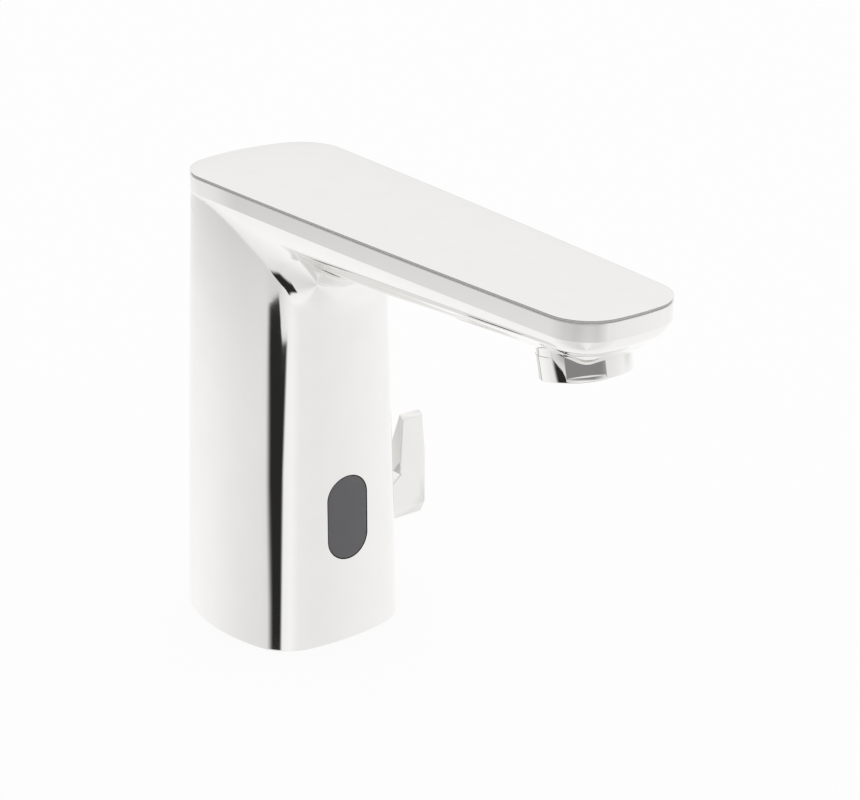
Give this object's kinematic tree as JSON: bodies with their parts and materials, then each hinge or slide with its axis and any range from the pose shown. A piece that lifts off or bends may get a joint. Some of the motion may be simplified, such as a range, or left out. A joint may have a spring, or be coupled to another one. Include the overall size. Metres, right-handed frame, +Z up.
{
  "type": "touch-free basin tap",
  "caption": "Chromed deck-mounted basin tap with a flat arm, a sensor window in the column, a side lever for the temperature and an aerated outlet.",
  "frame": {"origin": "middle of the foot, on the deck", "axes": "+Z up, the arm and outlet point along -Y, the temperature lever is on the +X side"},
  "size_m": [0.0763, 0.181, 0.14],
  "materials": {
    "chrome": "polished chrome plate",
    "brass": "machined",
    "dark_lens": "smooth, infrared-passing dark polycarbonate",
    "black_plastic": "moulded",
    "grey_plastic": "moulded",
    "white_plastic": "moulded acetal",
    "rubber": "moulded EPDM",
    "silicone": "moulded silicone",
    "circuit_board": "solder mask",
    "clear_epoxy": "cast",
    "battery_wrap": "shrink film",
    "stainless": "bright",
    "magnet_steel": "turned",
    "zinc_steel": "zinc plated",
    "ceramic": "lapped alumina",
    "nickel": "nickel plated"
  },
  "bodies": {
    "tap": {"body_casting": "chrome", "top_cover": "chrome", "lever_ring": "chrome", "aerator_housing": "chrome", "cover_gasket": "rubber", "cover_grub_screw": "stainless", "sensor_window": "dark_lens", "window_gasket": "rubber", "sensor_housing": "black_plastic", "sensor_board": "circuit_board", "infrared_emitter": "clear_epoxy", "infrared_receiver": "clear_epoxy", "sensor_screws": "stainless", "control_module": "black_plastic", "battery": "battery_wrap", "battery_cradle": "grey_plastic", "battery_contacts": "nickel", "base_gasket": "rubber", "mounting_plate": "zinc_steel", "plate_screws": "stainless", "valve_block": "brass", "mixer_sleeve": "white_plastic", "mixer_fixed_disc": "ceramic", "cartridge_nut": "brass", "diaphragm": "silicone", "valve_bonnet": "black_plastic", "bonnet_screws": "stainless", "plunger_spring": "stainless", "fixed_core": "magnet_steel", "solenoid_coil": "black_plastic", "solenoid_yoke": "zinc_steel", "spout_tube": "grey_plastic", "tube_seals": "rubber", "aerator_insert": "white_plastic", "aerator_screen": "stainless", "aerator_seal": "rubber", "hot_strainer": "stainless", "hot_check_seat": "white_plastic", "hot_check_spring": "stainless", "cold_strainer": "stainless", "cold_check_seat": "white_plastic", "cold_check_spring": "stainless"},
    "lever": {"temperature_lever": "chrome", "lever_screw": "stainless", "mixer_spindle": "brass", "spindle_seal": "rubber", "mixer_turning_disc": "ceramic"},
    "plunger": {"plunger": "magnet_steel"},
    "hot_poppet": {"hot_check_poppet": "white_plastic"},
    "cold_poppet": {"cold_check_poppet": "white_plastic"}
  },
  "joints": [
    {"name": "lever_turn", "type": "hinge", "parent": "tap", "child": "lever", "pos_m": [0, 0, 0.024], "axis": [1, 0, 0], "range_deg": [-45, 45]},
    {"name": "plunger_slide", "type": "slide", "parent": "tap", "child": "plunger", "axis": [0, 0, 1], "range_m": [0, 0.0012], "stiffness_N_per_m": 120, "springref_m": -0.004, "deforming": ["plunger_spring"]},
    {"name": "hot_check_slide", "type": "slide", "parent": "tap", "child": "hot_poppet", "axis": [0, 0, 1], "range_m": [0, 0.002], "stiffness_N_per_m": 20, "springref_m": -0.003, "deforming": ["hot_check_spring"]},
    {"name": "cold_check_slide", "type": "slide", "parent": "tap", "child": "cold_poppet", "axis": [0, 0, 1], "range_m": [0, 0.002], "stiffness_N_per_m": 20, "springref_m": -0.003, "deforming": ["cold_check_spring"]}
  ]
}
